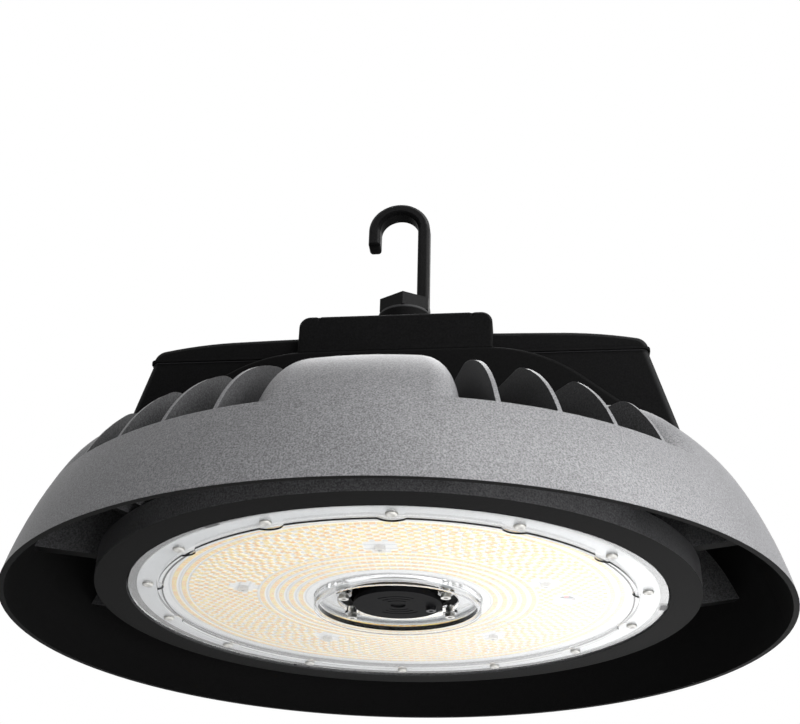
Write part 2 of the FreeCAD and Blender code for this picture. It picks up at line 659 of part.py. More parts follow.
def led_board():
    """Ring-shaped aluminium board."""
    plate = ring("board_ring", "board_outer", "board_inner", BOARD_BOTTOM, "board_seat - pad_thick")
    tools = pins("board_ring_hole", BOARD_SCREWS, "tiny_screw + hole_clearance", "disc_bottom", "disc_top")
    tools.append(cylinder("board_wire_hole", "wire_hole - 1", "8", x="wire_x", z=f"{BOARD_BOTTOM} - 2"))
    return finish("led_board", cut("led_board", plate, tools))


def thermal_pad():
    pad = ring("pad_ring", "board_outer", "board_inner", "board_seat - pad_thick", "board_seat")
    tools = pins("pad_ring_hole", BOARD_SCREWS, "tiny_screw + hole_clearance", "disc_bottom", "disc_top")
    tools.append(cylinder("pad_wire_hole", "wire_hole - 1", "8", x="wire_x", z=f"{BOARD_BOTTOM} - 2"))
    return finish("thermal_pad", cut("thermal_pad", pad, tools))


def sensor_well():
    """Black well in the middle of the disc that takes the plug-in sensor."""
    sketch = outline("well_outline", [
        ("well_tube - well_wall", WELL_BOTTOM, None),
        ("well_flange", WELL_BOTTOM, None),
        ("well_flange", "board_seat", None),
        ("well_tube", "board_seat", None),
        ("well_tube", "well_top", None),
        ("0", "well_top", None),
        ("0", "well_top - well_wall", None),
        ("well_tube - well_wall", "well_top - well_wall", None),
    ])
    tools = pins("well_lug_hole", LUGS, "tiny_screw + hole_clearance", "disc_bottom", "disc_top")
    tools.append(cylinder("well_wire_hole", "lead_radius + 1", "8", y="well_tube / 3", z="well_top - 5"))
    return finish("sensor_well", cut("sensor_well", revolve("well_blank", sketch), tools))


def sensor_socket():
    """Plug-in socket at the top of the well."""
    base = "plug_bottom + plug_thick"
    body = cylinder("socket_body", "socket_radius", f"well_top - well_wall - ({base})", z=base)
    hollow = cylinder("socket_hollow", "socket_radius * 0.55", "8", z=f"{base} - 1")
    screw_hole = cylinder("socket_screw_hole", "tiny_screw + hole_clearance", "8",
                          x="socket_radius * 0.82", y="socket_radius * 0.18", z=f"{base} - 1")
    wire = cylinder("socket_wire_hole", "lead_radius + 1", "12", y="well_tube / 3", z="well_top - 13")
    return finish("sensor_socket", cut("sensor_socket", body, [hollow, screw_hole, wire]))


def sensor_plug_cover():
    """Round cover over the empty socket, with arc slots and a dimple."""
    disc = cylinder("plug_disc", "plug_radius", "plug_thick", z="plug_bottom")
    tools = [cylinder("plug_dimple", "dimple_radius", "slot_depth + 1", z="plug_bottom - 1")]
    for i in range(3):
        radius = f"slot_first + {i} * slot_pitch"
        for side, middle in (("front", "0 - 90"), ("rear", "90")):
            name = f"plug_slot_{side}_{i + 1}"
            track = ring(name + "_track", f"{radius} + slot_width / 2", f"{radius} - slot_width / 2",
                         "plug_bottom - 1", "plug_bottom + slot_depth")
            part = wedge(name + "_span", "slot_span / 2", middle, "plug_bottom - 2", "plug_bottom + 4")
            tools.append(common(name, [track, part]))
    tools.append(cylinder("plug_screw_hole", "tiny_screw + hole_clearance", "plug_thick + 2",
                          x="socket_radius * 0.82", y="socket_radius * 0.18", z="plug_bottom - 1"))
    return finish("sensor_plug_cover", cut("sensor_plug_cover", disc, tools))


# ---- driver box -------------------------------------------------------------------------

TRAY_FLOOR = f"({DECK_TOP} + tray_wall)"
DRIVER_SCREWS = [(f"{side} * (driver_length / 2 + 5) - driver_shift", "0") for side in (1, -1)]


LID_HALF = "(tray_half_length + lid_overhang)"
GLAND_X = "(tray_half_length - gland_in)"


def tray_block(name, inset, side_inset, bottom, top):
    """Block whose ends lean like the tray's, inset from its outer faces."""
    lean = "tan(tray_end_draft)"
    low = f"tray_half_length + (tray_top - ({bottom})) * {lean} - ({inset})"
    high = f"tray_half_length + (tray_top - ({top})) * {lean} - ({inset})"
    sketch = outline(name + "_outline", [
        (f"0 - ({low})", bottom, None),
        (low, bottom, None),
        (high, top, None),
        (f"0 - ({high})", top, None),
    ])
    width = f"2 * (tray_half_width - ({side_inset}))"
    return place(extrude(name, sketch, Vec(0, -1, 0), width), y=f"tray_half_width - ({side_inset})")


def leaning(edge):
    """True for the corner edges of the tray's leaning ends."""
    first = edge.Vertexes[0]
    last = edge.Vertexes[-1]
    return abs(first.Z - last.Z) > 5 and abs(first.Y - last.Y) < 0.01


def driver_tray():
    """Cast box under the lid; it stands on the bell's deck."""
    top = "tray_top - gasket_thick"
    blank = tray_block("tray_blank", "0", "0", DECK_TOP, top)
    rounded = fillet("tray_rounded", blank, "tray_corner", leaning)
    hollow = tray_block("tray_hollow", "tray_wall", "tray_wall", f"{DECK_TOP} + tray_wall", "tray_top + 1")
    shell = cut("tray_shell", rounded, [hollow])
    floor = f"{DECK_TOP} + tray_wall - 0.5"
    bosses = pins("lid_boss", LID_SCREWS, "boss_radius", floor, top)
    pads = pins("tray_pad", TRAY_SCREWS, "boss_radius", floor, f"{DECK_TOP} + tray_wall + 1")
    tools = pins("tray_floor_hole", TRAY_SCREWS, "big_screw + hole_clearance", f"{DECK_TOP} - 1",
                 f"{DECK_TOP} + tray_wall + 2")
    tools += pins("lid_boss_hole", LID_SCREWS, "small_screw + hole_clearance", f"{top} - 12", f"{top} + 1")
    tools += pins("tray_driver_hole", DRIVER_SCREWS, "small_screw + hole_clearance", f"{TRAY_FLOOR} - 2.6",
                  f"{TRAY_FLOOR} + 1")
    tools.append(cylinder("tray_ground_hole", "big_screw + hole_clearance", "tray_wall + 2",
                          x="0 - (tray_half_length - ground_in)",
                          z=f"{DECK_TOP} - 1"))
    tools.append(cylinder("tray_wire_hole", "wire_hole", "tray_wall + 2", x="wire_x", z=f"{DECK_TOP} - 1"))
    tools.append(cylinder("tray_gland_hole", "gland_thread + hole_clearance", "tray_wall + 2", x=GLAND_X,
                          y="tray_half_width + 1", z="gland_z", axis=Vec(1, 0, 0), turn="90"))
    return finish("driver_tray", cut("driver_tray", fuse("tray_body", [shell] + bosses + pads), tools))


def lid_block(name, inset, foot):
    """Crowned block of the lid, inset from its outer faces."""
    end_x = f"{LID_HALF} - ({inset})"
    corner_x = f"{LID_HALF} - lid_corner_in - ({inset})"
    points = [
        (f"0 - ({end_x})", foot, None),
        (end_x, foot, None),
        (end_x, f"lid_end_height - ({inset}) / 2", "lid_end_arc"),
        (corner_x, f"lid_corner_z - ({inset})", "lid_slope_arc"),
        ("lid_bend_x", f"lid_bend_z - ({inset})", "lid_crown_arc"),
        ("0 - lid_bend_x", f"lid_bend_z - ({inset})", "lid_slope_arc"),
        (f"0 - ({corner_x})", f"lid_corner_z - ({inset})", "lid_end_arc"),
        (f"0 - ({end_x})", f"lid_end_height - ({inset}) / 2", None),
    ]
    half_width = f"tray_half_width - lid_inset - ({inset})"
    solid = extrude(name, outline(name + "_outline", points), Vec(0, -1, 0), f"2 * ({half_width})")
    return place(solid, y=half_width)


def driver_lid():
    """Crowned lid with a ledge all round, hollow underneath."""
    block = lid_block("lid_block", "0", "tray_top")
    side = number("tray_half_width - lid_inset")
    low = number("lid_end_height") + 0.1
    crown = fillet("lid_crown_solid", block, "lid_edge_round",
                   lambda edge: all(abs(abs(v.Y) - side) < 0.01 and v.Z > low - 0.2 for v in edge.Vertexes)
                   and abs(edge.Vertexes[0].X - edge.Vertexes[-1].X) > 0.5)
    ledge = slab("lid_ledge_plate", f"{LID_HALF} + lid_ledge", "tray_half_width + lid_ledge", "tray_top",
                 "tray_top + lid_ledge_thick")
    ledge_round = fillet("lid_ledge_rounded", ledge, "tray_corner",
                         lambda edge: abs(edge.Vertexes[0].Z - edge.Vertexes[-1].Z) > 1)
    hollow = common("lid_hollow", [lid_block("lid_hollow_block", "lid_wall", "tray_top - 1"),
                                   slab("lid_hollow_limit", "tray_half_length - tray_wall", "tray_half_width",
                                        "tray_top - 2", "cap_top")])
    shell = cut("lid_shell", fuse("lid_body", [crown, ledge_round]), [hollow])
    bosses = pins("lid_post", LID_SCREWS, "boss_radius", "tray_top", "lid_screw_seat + 2")
    tools = pins("lid_counterbore", LID_SCREWS, "boss_radius - 1", "lid_screw_seat", "cap_top")
    tools += pins("lid_hole", LID_SCREWS, "small_screw + hole_clearance", "tray_top - 1", "cap_top")
    return finish("driver_lid", cut("driver_lid", fuse("lid_full", [shell] + bosses), tools))


def lid_gasket():
    """Flat seal between tray and lid."""
    bottom = "tray_top - gasket_thick"
    outer = slab("lid_seal_outer", "tray_half_length", "tray_half_width", bottom, "tray_top")
    rounded = fillet("lid_seal_rounded", outer, "tray_corner",
                     lambda edge: abs(edge.Vertexes[0].Z - edge.Vertexes[-1].Z) > 0.3)
    hole = slab("lid_seal_inner", "tray_half_length - tray_wall", "tray_half_width - tray_wall",
                f"{bottom} - 1", "tray_top + 1")
    pads = pins("lid_seal_pad", LID_SCREWS, "boss_radius", bottom, "tray_top")
    body = fuse("lid_seal_body", [cut("lid_seal_ring", rounded, [hole])] + pads)
    tools = pins("lid_seal_hole", LID_SCREWS, "small_screw + hole_clearance", f"{bottom} - 1", "tray_top + 1")
    return finish("lid_gasket", cut("lid_gasket", body, tools))


def led_driver():
    """Driver's closed case with two screw tabs."""
    case = box("driver_case", "driver_length", "driver_width", "driver_tall",
               x="0 - driver_length / 2 - driver_shift", y="0 - driver_width / 2", z=TRAY_FLOOR)
    rounded = fillet("driver_case_rounded", case, "2",
                     lambda edge: abs(edge.Vertexes[0].Z - edge.Vertexes[-1].Z) > 5)
    tabs = slab("driver_tabs", "driver_length / 2 + 9", "12", TRAY_FLOOR, f"{TRAY_FLOOR} + 2")
    place(tabs, x="0 - driver_length / 2 - 9 - driver_shift", y="0 - 12", z=TRAY_FLOOR)
    tools = pins("driver_tab_hole", DRIVER_SCREWS, "small_screw + hole_clearance", f"{TRAY_FLOOR} - 1",
                 f"{TRAY_FLOOR} + 3")
    return finish("led_driver", cut("led_driver", fuse("driver_body", [rounded, tabs]), tools))


def terminal_block():
    """Three-way terminal block where the mains cable ends."""
    body = box("terminal_body", "14", "30", "16", x=GLAND_X + " - 7", y="0 - 15", z=TRAY_FLOOR)
    tools = []
    for i in range(3):
        tools.append(cylinder(f"terminal_entry_{i + 1}", "2", "16", x=GLAND_X + " - 8", y=f"{i} * 9 - 9",
                              z=f"{TRAY_FLOOR} + 6", axis=Vec(0, 1, 0), turn="90"))
        tools.append(cylinder(f"terminal_screw_well_{i + 1}", "1.8", "6", x=GLAND_X, y=f"{i} * 9 - 9",
                              z=f"{TRAY_FLOOR} + 11"))
    return finish("terminal_block", cut("terminal_block", body, tools))


def wire_grommet():
    """Rubber grommet in the wire hole of tray and deck."""
    body = cylinder("grommet_tube", "wire_hole", "tray_wall + bell_wall", x="wire_x", z=DECK_UNDER)
    flange = cylinder("grommet_flange", "wire_hole + 2", "1.5", x="wire_x", z=TRAY_FLOOR)
    hole = cylinder("grommet_hole", "lead_radius * 2.2", "20", x="wire_x", z=f"{DECK_UNDER} - 5")
    return finish("wire_grommet", cut("wire_grommet", fuse("grommet_body", [body, flange]), [hole]))


def led_leads():
    """Two insulated leads from the driver down to the board."""
    wires = []
    for i, side in enumerate((1, -1), start=1):
        y = f"{side} * (lead_radius + 0.1)"
        bottom = "board_seat - pad_thick"
        wires.append(cylinder(f"lead_{i}", "lead_radius", f"{TRAY_FLOOR} + 8 - ({bottom})",
                              x="wire_x", y=y, z=bottom))
    return finish("led_leads", group("led_leads", wires))


def gland():
    """Cable gland in the rear wall: body, nut inside the tray, and sealing insert."""
    back = Vec(1, 0, 0)
    wall = "tray_half_width"
    flats = "gland_flats / sqrt(3)"
    thread = cylinder("gland_thread_bar", "gland_thread", "tray_wall + 7", x=GLAND_X, y=f"{wall} + 1",
                      z="gland_z", axis=back, turn="90")
    hexagon = prism("gland_hex", flats, "6", x=GLAND_X, y=f"{wall} + 6", z="gland_z", axis=back, turn="90")
    dome = cylinder("gland_dome", "gland_flats * 0.46", "11", x=GLAND_X, y=f"{wall} + 16", z="gland_z",
                    axis=back, turn="90")
    rounded = fillet("gland_dome_rounded", dome, "2.5", lambda edge: edge.CenterOfMass.y > number(wall) + 15
                     and edge.Closed)
    hole = cylinder("gland_hole", "gland_thread * 0.75", "40", x=GLAND_X, y=f"{wall} + 25", z="gland_z",
                    axis=back, turn="90")
    body = finish("gland_body", cut("gland_body", fuse("gland_blank", [thread, hexagon, rounded]), [hole]))
    nut = prism("gland_nut_blank", flats, "3", x=GLAND_X, y=f"{wall} - tray_wall", z="gland_z",
                axis=back, turn="90")
    nut_hole = cylinder("gland_nut_hole", "gland_thread + hole_clearance", "8", x=GLAND_X, y=f"{wall}",
                        z="gland_z", axis=back, turn="90")
    finish("gland_nut", cut("gland_nut", nut, [nut_hole]))
    seal = cylinder("gland_seal_bar", "gland_thread * 0.75", "12", x=GLAND_X, y=f"{wall} + 15.5",
                    z="gland_z", axis=back, turn="90")
    seal_hole = cylinder("gland_seal_hole", "cable_hole", "20", x=GLAND_X, y=f"{wall} + 20", z="gland_z",
                         axis=back, turn="90")
    finish("gland_seal", cut("gland_seal", seal, [seal_hole]))
    return body


# ---- saddle cap and hook ----------------------------------------------------------------

def saddle_cap():
    """Cast bridge over the lid, standing on both ribs, with the hub for the hook."""
    block = slab("cap_block", "cap_half_length", "cap_half_width", "arch_top", "cap_top")
    high = number("cap_top")
    corners = fillet("cap_corners", block, "cap_corner",
                     lambda edge: all(abs(v.Z - high) < 0.01 for v in edge.Vertexes)
                     and abs(edge.Vertexes[0].Y - edge.Vertexes[-1].Y) > 5)
    side = number("cap_half_width")
    edges = fillet("cap_edges", corners, "cap_edge",
                   lambda edge: all(abs(abs(v.Y) - side) < 0.01 for v in edge.Vertexes)
                   and min(v.Z for v in edge.Vertexes) > number("arch_top") + 1)
    hub = cylinder("hub", "hub_radius", "hub_top - cap_tunnel_top", z="cap_tunnel_top")
    hub_round = fillet("hub_rounded", hub, "1", lambda edge: edge.CenterOfMass.z > number("hub_top") - 0.1
                       and edge.Closed)
    tunnel = slab("cap_tunnel", "cap_half_length + 1", "cap_tunnel_half", "arch_top - 1", "cap_tunnel_top")
    bore = cylinder("hub_bore_cut", "hub_bore + hole_clearance", "hub_top - bore_bottom + 1", z="bore_bottom")
    set_hole = cylinder("set_screw_hole", "big_screw + hole_clearance", "hub_radius", y="hub_radius + 1",
                        z="set_screw_z", axis=Vec(1, 0, 0), turn="90")
    tools = [tunnel, bore, set_hole]
    tools += pins("cap_screw_hole", CAP_SCREWS, "tiny_screw + hole_clearance", "arch_top - 1", "cap_top + 1")
    tools += pins("cap_counterbore", CAP_SCREWS, "tiny_head + hole_clearance", "cap_top - tiny_head_tall - 1",
                  "cap_top + 1")
    return finish("saddle_cap", cut("saddle_cap", fuse("cap_blank", [edges, hub_round]), tools))


def hook():
    """Steel hook: stud, hexagon and bent bar in one."""
    seat = "hub_top + washer_thick"
    hexagon = prism("hook_hex", "hex_flats / sqrt(3)", "hex_tall", z=seat, turn="30")
    stud = cylinder("hook_stud", "stud_radius", "stud_length + 1", z=f"{seat} - stud_length")
    foot = f"{seat} + hex_tall - 1"
    half = "hook_bar / 2"
    centre = "shank_x - hook_bend"
    bend = ring("hook_bend_ring", f"hook_bend + {half}", f"hook_bend - {half}",
                "0 - hook_depth / 2", "hook_depth / 2")
    place(bend, x=centre, z="bend_height", axis=Vec(1, 0, 0), turn="90")
    upper = common("hook_bend_half", [bend, slab("hook_bend_limit", "hook_bend * 3", "hook_depth",
                                                 "bend_height", "bend_height + hook_bend * 2")])
    legs = [box("hook_shank", "hook_bar", "hook_depth", f"bend_height - ({foot})",
                x=f"shank_x - {half}", y="0 - hook_depth / 2", z=foot),
            box("hook_tip", "hook_bar", "hook_depth", "bend_height - tip_height",
                x=f"{centre} - hook_bend - {half}", y="0 - hook_depth / 2", z="tip_height")]
    bar = fuse("hook_bar_solid", [upper] + legs)
    bar.Refine = True
    low = number(foot) + 0.1
    tip = number("tip_height")
    rounded = fillet("hook_bar_rounded", bar, "hook_edge_round",
                     lambda edge: max(v.Z for v in edge.Vertexes) > low
                     and (abs(edge.Vertexes[0].Y - edge.Vertexes[-1].Y) < 0.01
                          or all(abs(v.Z - tip) < 0.01 for v in edge.Vertexes)))
    return finish("hook", fuse("hook", [hexagon, stud, rounded]))


def hook_washer():
    return finish("hook_washer", ring("hook_washer", "hub_radius - 0.6", "stud_radius + hole_clearance", "hub_top",
                                      "hub_top + washer_thick"))


def hook_set_screw():
    bar = cylinder("set_screw_bar", "big_screw", "hub_radius - stud_radius - 0.3", y="hub_radius - 0.3",
                   z="set_screw_z", axis=Vec(1, 0, 0), turn="90")
    drive = prism("set_screw_drive", "big_screw / 2", "2", y="hub_radius + 0.5", z="set_screw_z",
                  axis=Vec(1, 0, 0), turn="90")
    return finish("hook_set_screw", cut("hook_set_screw", bar, [drive]))


def small_hardware():
    """Screws of every joint."""
    screws("lens_screws", LENS_SCREWS, "small", FLANGE_BOTTOM, "9")
    screws("collar_screws", LUGS, "tiny", "lug_bottom", "10")
    screws("board_screws", BOARD_SCREWS, "tiny", BOARD_BOTTOM, "6")
    screws("tray_screws", TRAY_SCREWS, "big", f"({DECK_TOP} + tray_wall + 1)", "11", up=False)
    screws("lid_screws", LID_SCREWS, "small", "lid_screw_seat", "18", up=False)
    screws("driver_screws", DRIVER_SCREWS, "small", f"({TRAY_FLOOR} + 2)", "4.5", up=False)
    screws("cap_screws", CAP_SCREWS, "tiny", "(cap_top - tiny_head_tall - 1)", "cap_screw_length + 16", up=False)
    screws("plug_cover_screw", [("socket_radius * 0.82", "socket_radius * 0.18")], "tiny", "plug_bottom", "9")
    screws("ground_screw", [("0 - (tray_half_length - ground_in)", "0")], "big", TRAY_FLOOR, "2.9", up=False)


def build_all():
    housing()
    for make in (lens, lens_gasket, collar_gasket, led_board, thermal_pad, sensor_well, sensor_socket,
                 sensor_plug_cover, driver_tray, driver_lid, lid_gasket, led_driver, terminal_block,
                 wire_grommet, led_leads, gland, saddle_cap, hook, hook_washer, hook_set_screw,
                 small_hardware):
        make()
    doc.recompute()


def check_and_export():
    """Stop on any invalid feature, then write one STEP file per node."""
    for thing in doc.Objects:
        if "Invalid" in thing.State or "Error" in thing.State:
            raise RuntimeError(f"{thing.Name}: {thing.getStatusString()}")
    os.makedirs("parts", exist_ok=True)
    for node, thing in NODES.items():
        if thing.Shape.isNull() or not thing.Shape.isValid():
            raise RuntimeError(f"{node} has no valid shape")
        thing.Shape.exportStep(f"parts/{node}.step")


build_all()
check_and_export()
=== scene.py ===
import math
import bpy
from mathutils import Matrix, Vector


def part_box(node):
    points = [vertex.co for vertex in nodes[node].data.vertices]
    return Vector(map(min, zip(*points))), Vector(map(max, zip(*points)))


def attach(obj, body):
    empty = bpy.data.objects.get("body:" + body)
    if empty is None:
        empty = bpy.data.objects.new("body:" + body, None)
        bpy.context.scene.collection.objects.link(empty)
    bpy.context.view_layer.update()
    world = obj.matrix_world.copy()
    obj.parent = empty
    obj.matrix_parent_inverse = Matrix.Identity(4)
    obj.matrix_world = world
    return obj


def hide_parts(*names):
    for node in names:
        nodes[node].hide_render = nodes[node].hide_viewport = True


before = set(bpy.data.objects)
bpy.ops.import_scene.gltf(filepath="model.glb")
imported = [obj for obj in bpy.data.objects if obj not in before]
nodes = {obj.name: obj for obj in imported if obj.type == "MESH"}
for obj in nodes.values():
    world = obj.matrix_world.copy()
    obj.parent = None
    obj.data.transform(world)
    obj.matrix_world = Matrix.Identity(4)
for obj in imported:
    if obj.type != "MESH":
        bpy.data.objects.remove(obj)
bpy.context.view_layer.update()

# All lengths are in metres, angles in degrees, lamp energies in watts.

# rings of LEDs on the board
RING_FIRST = 0.0535             # radius of the innermost ring
RING_PITCH = 0.00527            # from ring to ring
RING_COUNT = 14
PACKED_INNER = 5                # rings of closely set LEDs at the inside
PACKED_OUTER = 2                # and at the outside
PACKED_STEP = 0.0037            # from LED to LED in a closely set ring
STAGGERED_STEP = 0.0066         # from LED to LED in a staggered ring
RING_SYMMETRY = 4               # the LEDs of a ring are a multiple of this
LED_HALF = (0.00132, 0.00168)   # half sizes of an LED along and across the radius
LED_TALL = 0.00035
LED_PROFILE = ((1.0, 0.0), (1.0, 0.75), (0.96, 1.0), (0.90, 1.0), (0.86, 0.85))
SQUARE = ((-1, -1), (1, -1), (1, 1), (-1, 1))

# what passes through the board
BOARD_SCREW_RING = 0.085
BOARD_SCREW_COUNT = 5
BOARD_SCREW_PHASE = -90
LEAD_HOLE = (0.092, 0.0)
LED_CLEARANCE = 0.0080          # from the middle of an LED to the middle of a screw or lead

# lens screws
SCREW_RING = 0.1356
SCREW_COUNT = 14
SCREW_PHASE = -85.3
SOLID_HEAD_TALL = 0.0022        # height of the plain heads of the solids
HEAD_SIDES = 24
HEAD_PROFILE = ((0.0030, 0.0), (0.0030, -0.0004), (0.0026, -0.0011), (0.0012, -0.0013),
                (0.0008, -0.0006), (0.0, -0.0005))

# seals under the clear lens: node, inner and outer radius
SEALS = (("lens_gasket", 0.1312, 0.1415), ("collar_gasket", 0.0340, 0.0434))
SEAL_GAP = 0.00006              # from the seal to the lens
SEAL_SIDES = 160

# tabs round the lens
TAB_ANGLES = (-121.5, 3.5, 121.0)
TAB_OUTLINE = ((0.1425, -0.0045), (0.1480, -0.0045), (0.1505, -0.0030), (0.1505, 0.0030),
               (0.1480, 0.0045), (0.1425, 0.0045))
TAB_MIDDLE = 0.1465             # radius of a tab's middle
TAB_START = 0.0027              # from the top of the lens down to a tab's root
TAB_LEVELS = ((0.0, 0.0), (0.0010, 0.0), (0.0015, 0.0006))      # (depth, inset)

# finishes
PAINTED_SHADE_HEIGHT = 0.092             # painted shade: above this height the housing is painted black, as if the arch and top were in shade
PAINTED_SHADE_BLEND = 0.003               # half height of the blend there
PAINTED_LIGHT_FACING = (-0.08, 0.14)    # Z part of the normal where the painted light begins and is full: faces turned up get lit-looking grey, faces turned down stay black as painted shade
WELL_RIM = 0.0335               # radius where the well's flange begins
GRAIN_STOPS = (0.3, 0.7)        # places of the two tones on a grain ramp

# stage
FLOOR_HALF = 6.0
FLOOR_Z = -0.45
FILL = 0.14                     # strength of the world as a light
LAMPS = (
    # name, location, target, size, energy, seen in gloss and glass
    ("key_right", (1.5, -0.35, 0.95), (0.05, 0.0, 0.05), 0.9, 23.0, True),
    ("top_front", (0.65, -0.90, 1.25), (0.0, 0.0, 0.0), 1.1, 20.0, True),
    ("board_front", (0.55, -0.75, -0.38), (0.0, 0.0, 0.0), 0.6, 16.0, False),
    ("ceiling_rear", (0.0, 1.6, 2.2), (0.0, 1.2, -0.45), 1.5, 34.0, True),
    ("floor_pool", (0.50, 1.40, 0.30), (0.50, 1.401, -0.45), 0.6, 15.0, True),
)

# camera, fitted to the photograph
EYE = (0.0726, -0.6500, -0.1925)
HEADING = -6.589
LIFT = 28.751
ROLL = 1.547
SENSOR_WIDTH = 36.0
FOCAL_LENGTH = 1224.0           # in pixels of the render
RENDER_WIDTH = 800.0
CLIP_END = 50.0


# ---- material helpers -------------------------------------------------------------------

def new_material(name):
    """New node material; returns it with its tree and its shader."""
    material = bpy.data.materials.new(name)
    material.use_nodes = True
    tree = material.node_tree
    shader = tree.nodes["Principled BSDF"]
    return material, tree, shader


def add(tree, kind, **values):
    """New node; plain keywords are attributes, and in_NAME sets an input."""
    node = tree.nodes.new(kind)
    for key, value in values.items():
        if key.startswith("in_"):
            node.inputs[key[3:].replace("_", " ")].default_value = value
        else:
            setattr(node, key, value)
    return node


def coordinates(tree):
    return add(tree, "ShaderNodeTexCoord").outputs["Object"]


def noise(tree, vector, scale, detail=3.0, roughness=0.55):
    texture = add(tree, "ShaderNodeTexNoise", in_Scale=scale, in_Detail=detail,
                  in_Roughness=roughness)
    tree.links.new(vector, texture.inputs["Vector"])
    return texture.outputs["Fac"]


def ramp(tree, source, stops):
    """Colour ramp through (place, colour) stops."""
    node = add(tree, "ShaderNodeValToRGB")
    elements = node.color_ramp.elements
    while len(elements) < len(stops):
        elements.new(0.5)
    for element, (place, colour) in zip(elements, stops):
        element.position = place
        element.color = (*colour, 1.0)
    tree.links.new(source, node.inputs["Fac"])
    return node.outputs["Color"]


def grain_tones(tree, source, low, high):
    """Two tones that follow a grain."""
    return ramp(tree, source, list(zip(GRAIN_STOPS, (low, high))))


def span(tree, source, low, high, start=0.0):
    """Map a value from start to 1 onto a range."""
    node = add(tree, "ShaderNodeMapRange")
    node.inputs["From Min"].default_value = start
    node.inputs["To Min"].default_value = low
    node.inputs["To Max"].default_value = high
    tree.links.new(source, node.inputs["Value"])
    return node.outputs["Result"]


def calculate(tree, operation, *values):
    """Math node; each value may be a float or a socket."""
    node = add(tree, "ShaderNodeMath", operation=operation)
    for socket, value in zip(node.inputs, values):
        if isinstance(value, float):
            socket.default_value = value
        else:
            tree.links.new(value, socket)
    return node.outputs["Value"]


def axis_distance(tree, place):
    """Distance of a place from the light's axis."""
    flat = add(tree, "ShaderNodeVectorMath", operation="MULTIPLY")
    flat.inputs[1].default_value = (1.0, 1.0, 0.0)
    tree.links.new(place, flat.inputs[0])
    length = add(tree, "ShaderNodeVectorMath", operation="LENGTH")
    tree.links.new(flat.outputs["Vector"], length.inputs[0])
    return length.outputs["Value"]


def bump(tree, shader, height, strength, distance):
    node = add(tree, "ShaderNodeBump", in_Strength=strength, in_Distance=distance)
    tree.links.new(height, node.inputs["Height"])
    tree.links.new(node.outputs["Normal"], shader.inputs["Normal"])
    return node


def grey(value):
    """Very slightly blue grey."""
    return (value, value, value * 1.02)


def rise(tree, vector, low, high):
    """0 to 1 as the Z part of a vector grows from low to high."""
    split = add(tree, "ShaderNodeSeparateXYZ")
    tree.links.new(vector, split.inputs["Vector"])
    node = add(tree, "ShaderNodeMapRange", interpolation_type="SMOOTHSTEP")
    node.inputs["From Min"].default_value = low
    node.inputs["From Max"].default_value = high
    tree.links.new(split.outputs["Z"], node.inputs["Value"])
    return node.outputs["Result"]


def mixed(tree, share, first, second, mode="MIX"):
    """Blend two colours; the share may be a float or a socket."""
    node = add(tree, "ShaderNodeMix", data_type="RGBA", blend_type=mode)
    factor, colour_a, colour_b = node.inputs[0], node.inputs[6], node.inputs[7]
    if isinstance(share, float):
        factor.default_value = share
    else:
        tree.links.new(share, factor)
    tree.links.new(first, colour_a)
    tree.links.new(second, colour_b)
    return node.outputs[2]


# ---- materials --------------------------------------------------------------------------

def powder(name, under, dark, light, rough, shine, top=None):
    """Textured powder coat with painted light and shade: lit-looking grey speckle where it
    faces out or up, painted black where it faces down and above top.
    """
    material, tree, shader = new_material(name)
    place = coordinates(tree)
    fine = noise(tree, place, 1300.0, 2.5)
    soft = noise(tree, place, 24.0, 2.0)
    middle = (dark + light) / 2
    specks = ramp(tree, fine, [(0.34, grey(dark)), (0.52, grey(middle)), (0.70, grey(light))])
    cloud = grain_tones(tree, soft, grey(0.90), grey(1.0))
    plain = grain_tones(tree, fine, grey(under * 0.7), grey(under * 1.3))
    normal = add(tree, "ShaderNodeNewGeometry").outputs["Normal"]
    # painted light and shade: the grey share grows as the face turns up, so upper faces look
    # lit and lower faces shaded
    share = rise(tree, normal, *PAINTED_LIGHT_FACING)
    # painted shade: above the given height the coat turns black whichever way it faces
    if top is not None:
        above = rise(tree, place, top - PAINTED_SHADE_BLEND, top + PAINTED_SHADE_BLEND)
        share = calculate(tree, "MULTIPLY", share, calculate(tree, "SUBTRACT", 1.0, above))
    painted_lit_grey = mixed(tree, 1.0, specks, cloud, "MULTIPLY")
    tree.links.new(mixed(tree, share, plain, painted_lit_grey), shader.inputs["Base Color"])
    tree.links.new(span(tree, fine, rough - 0.07, rough + 0.09), shader.inputs["Roughness"])
    # the gloss follows the same facing mask, so faces turned down show almost no reflection
    tree.links.new(span(tree, share, shine * 0.05, shine), shader.inputs["Specular IOR Level"])
    relief = bump(tree, shader, fine, 0.3, 0.00025)
    edge = add(tree, "ShaderNodeBevel", samples=4, in_Radius=0.0006)
    tree.links.new(edge.outputs["Normal"], relief.inputs["Normal"])
    return material


def plastic(name, colour, rough, spread=0.12, shine=0.4):
    """Moulded plastic, rubber or paint with a faint grain."""
    material, tree, shader = new_material(name)
    fine = noise(tree, coordinates(tree), 420.0)
    low = tuple(channel * (1 - spread) for channel in colour)
    high = tuple(min(channel * (1 + spread), 1.0) for channel in colour)
    tree.links.new(grain_tones(tree, fine, low, high), shader.inputs["Base Color"])
    tree.links.new(span(tree, fine, rough - 0.05, rough + 0.05), shader.inputs["Roughness"])
    shader.inputs["Specular IOR Level"].default_value = shine
    bump(tree, shader, fine, 0.3, 0.00006)
    return material


def metal(name, colour, rough):
    """Plated or bare metal with fine uneven gloss."""
    material, tree, shader = new_material(name)
    shader.inputs["Metallic"].default_value = 1.0
    fine = noise(tree, coordinates(tree), 900.0, 4.0)
    low = tuple(channel * 0.85 for channel in colour)
    tree.links.new(grain_tones(tree, fine, low, colour), shader.inputs["Base Color"])
    tree.links.new(span(tree, fine, rough - 0.06, rough + 0.1), shader.inputs["Roughness"])
    bump(tree, shader, fine, 0.15, 0.00003)
    return material


